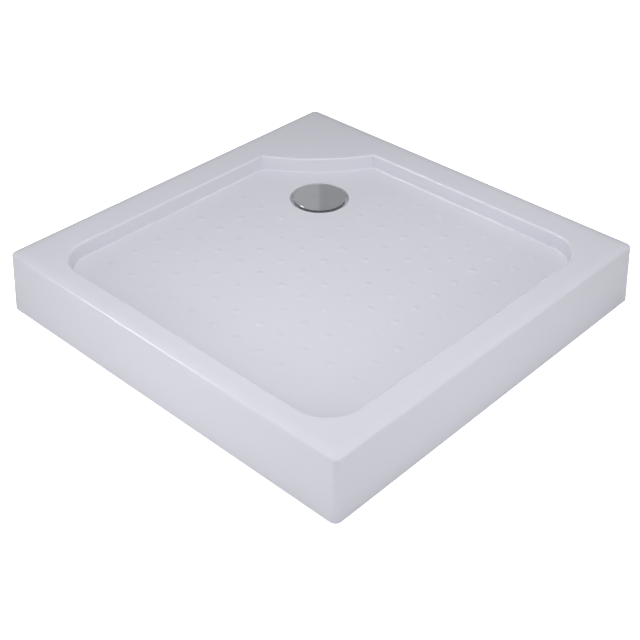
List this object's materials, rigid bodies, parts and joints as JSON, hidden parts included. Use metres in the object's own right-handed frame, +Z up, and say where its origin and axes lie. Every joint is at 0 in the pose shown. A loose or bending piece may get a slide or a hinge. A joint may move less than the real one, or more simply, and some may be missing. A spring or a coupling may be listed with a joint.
{
  "type": "shower tray",
  "caption": "Square white acrylic shower tray with its own skirt, a raised corner shelf, a round chromed drain cover, a trap and screw-adjusted feet.",
  "frame": {"origin": "middle of the square footprint, on the ground", "axes": "+Z up; -Y is the front; the raised shelf and the drain are in the -X +Y corner"},
  "size_m": [0.9, 0.9, 0.135],
  "materials": {
    "acrylic": "high gloss white",
    "fibreglass": "rough laminate",
    "chipboard": "raw",
    "zinc_steel": "bright zinc",
    "foot_plastic": "moulded black",
    "rubber": "matt black",
    "chrome": "polished",
    "trap_plastic": "moulded white"
  },
  "bodies": {
    "tray": {"tray_shell": "acrylic", "fibreglass_backing": "fibreglass", "floor_board": "chipboard", "shelf_board": "chipboard", "plate_screws": "zinc_steel", "lock_nuts": "zinc_steel", "flange_gasket": "rubber", "trap_gasket": "rubber", "union_seal": "rubber", "clamp_screws": "zinc_steel", "flange_ring": "trap_plastic", "trap_body": "trap_plastic", "union_nut": "trap_plastic", "outlet_spigot": "trap_plastic", "leg_socket_front_left": "zinc_steel", "leg_socket_front_right": "zinc_steel", "leg_socket_rear_right": "zinc_steel", "leg_socket_centre": "zinc_steel", "leg_socket_rear_left": "zinc_steel"},
    "dip_tube": {"dip_tube": "trap_plastic", "dip_tube_seal": "rubber"},
    "drain_cover": {"drain_cover": "chrome"},
    "foot_front_left": {"foot_pad_front_left": "foot_plastic"},
    "rod_front_left": {"leg_rod_front_left": "zinc_steel"},
    "foot_front_right": {"foot_pad_front_right": "foot_plastic"},
    "rod_front_right": {"leg_rod_front_right": "zinc_steel"},
    "foot_rear_right": {"foot_pad_rear_right": "foot_plastic"},
    "rod_rear_right": {"leg_rod_rear_right": "zinc_steel"},
    "foot_centre": {"foot_pad_centre": "foot_plastic"},
    "rod_centre": {"leg_rod_centre": "zinc_steel"},
    "foot_rear_left": {"foot_pad_rear_left": "foot_plastic"},
    "rod_rear_left": {"leg_rod_rear_left": "zinc_steel"}
  },
  "joints": [
    {"name": "dip_tube_lift", "type": "slide", "parent": "tray", "child": "dip_tube", "axis": [0, 0, 1], "range_m": [0, 0.12]},
    {"name": "cover_lift", "type": "slide", "parent": "dip_tube", "child": "drain_cover", "axis": [0, 0, 1], "range_m": [0, 0.06]},
    {"name": "foot_slide_front_left", "type": "slide", "parent": "tray", "child": "foot_front_left", "axis": [0, 0, -1], "range_m": [-0.008, 0.025]},
    {"name": "rod_turn_front_left", "type": "hinge", "parent": "foot_front_left", "child": "rod_front_left", "pos_m": [-0.305, -0.335, 0.01], "axis": [0, 0, -1], "range_deg": [-1646, 5143]},
    {"name": "foot_slide_front_right", "type": "slide", "parent": "tray", "child": "foot_front_right", "axis": [0, 0, -1], "range_m": [-0.008, 0.025]},
    {"name": "rod_turn_front_right", "type": "hinge", "parent": "foot_front_right", "child": "rod_front_right", "pos_m": [0.325, -0.335, 0.01], "axis": [0, 0, -1], "range_deg": [-1646, 5143]},
    {"name": "foot_slide_rear_right", "type": "slide", "parent": "tray", "child": "foot_rear_right", "axis": [0, 0, -1], "range_m": [-0.008, 0.025]},
    {"name": "rod_turn_rear_right", "type": "hinge", "parent": "foot_rear_right", "child": "rod_rear_right", "pos_m": [0.325, 0.305, 0.01], "axis": [0, 0, -1], "range_deg": [-1646, 5143]},
    {"name": "foot_slide_centre", "type": "slide", "parent": "tray", "child": "foot_centre", "axis": [0, 0, -1], "range_m": [-0.008, 0.025]},
    {"name": "rod_turn_centre", "type": "hinge", "parent": "foot_centre", "child": "rod_centre", "pos_m": [0, 0, 0.01], "axis": [0, 0, -1], "range_deg": [-1646, 5143]},
    {"name": "foot_slide_rear_left", "type": "slide", "parent": "tray", "child": "foot_rear_left", "axis": [0, 0, -1], "range_m": [-0.008, 0.025]},
    {"name": "rod_turn_rear_left", "type": "hinge", "parent": "foot_rear_left", "child": "rod_rear_left", "pos_m": [-0.335, 0.335, 0.01], "axis": [0, 0, -1], "range_deg": [-1646, 5143]}
  ],
  "couplings": [
    {"joint": "rod_turn_front_left", "follows": "foot_slide_front_left", "rad_per_m": 3590.4},
    {"joint": "rod_turn_front_right", "follows": "foot_slide_front_right", "rad_per_m": 3590.4},
    {"joint": "rod_turn_rear_right", "follows": "foot_slide_rear_right", "rad_per_m": 3590.4},
    {"joint": "rod_turn_centre", "follows": "foot_slide_centre", "rad_per_m": 3590.4},
    {"joint": "rod_turn_rear_left", "follows": "foot_slide_rear_left", "rad_per_m": 3590.4}
  ]
}
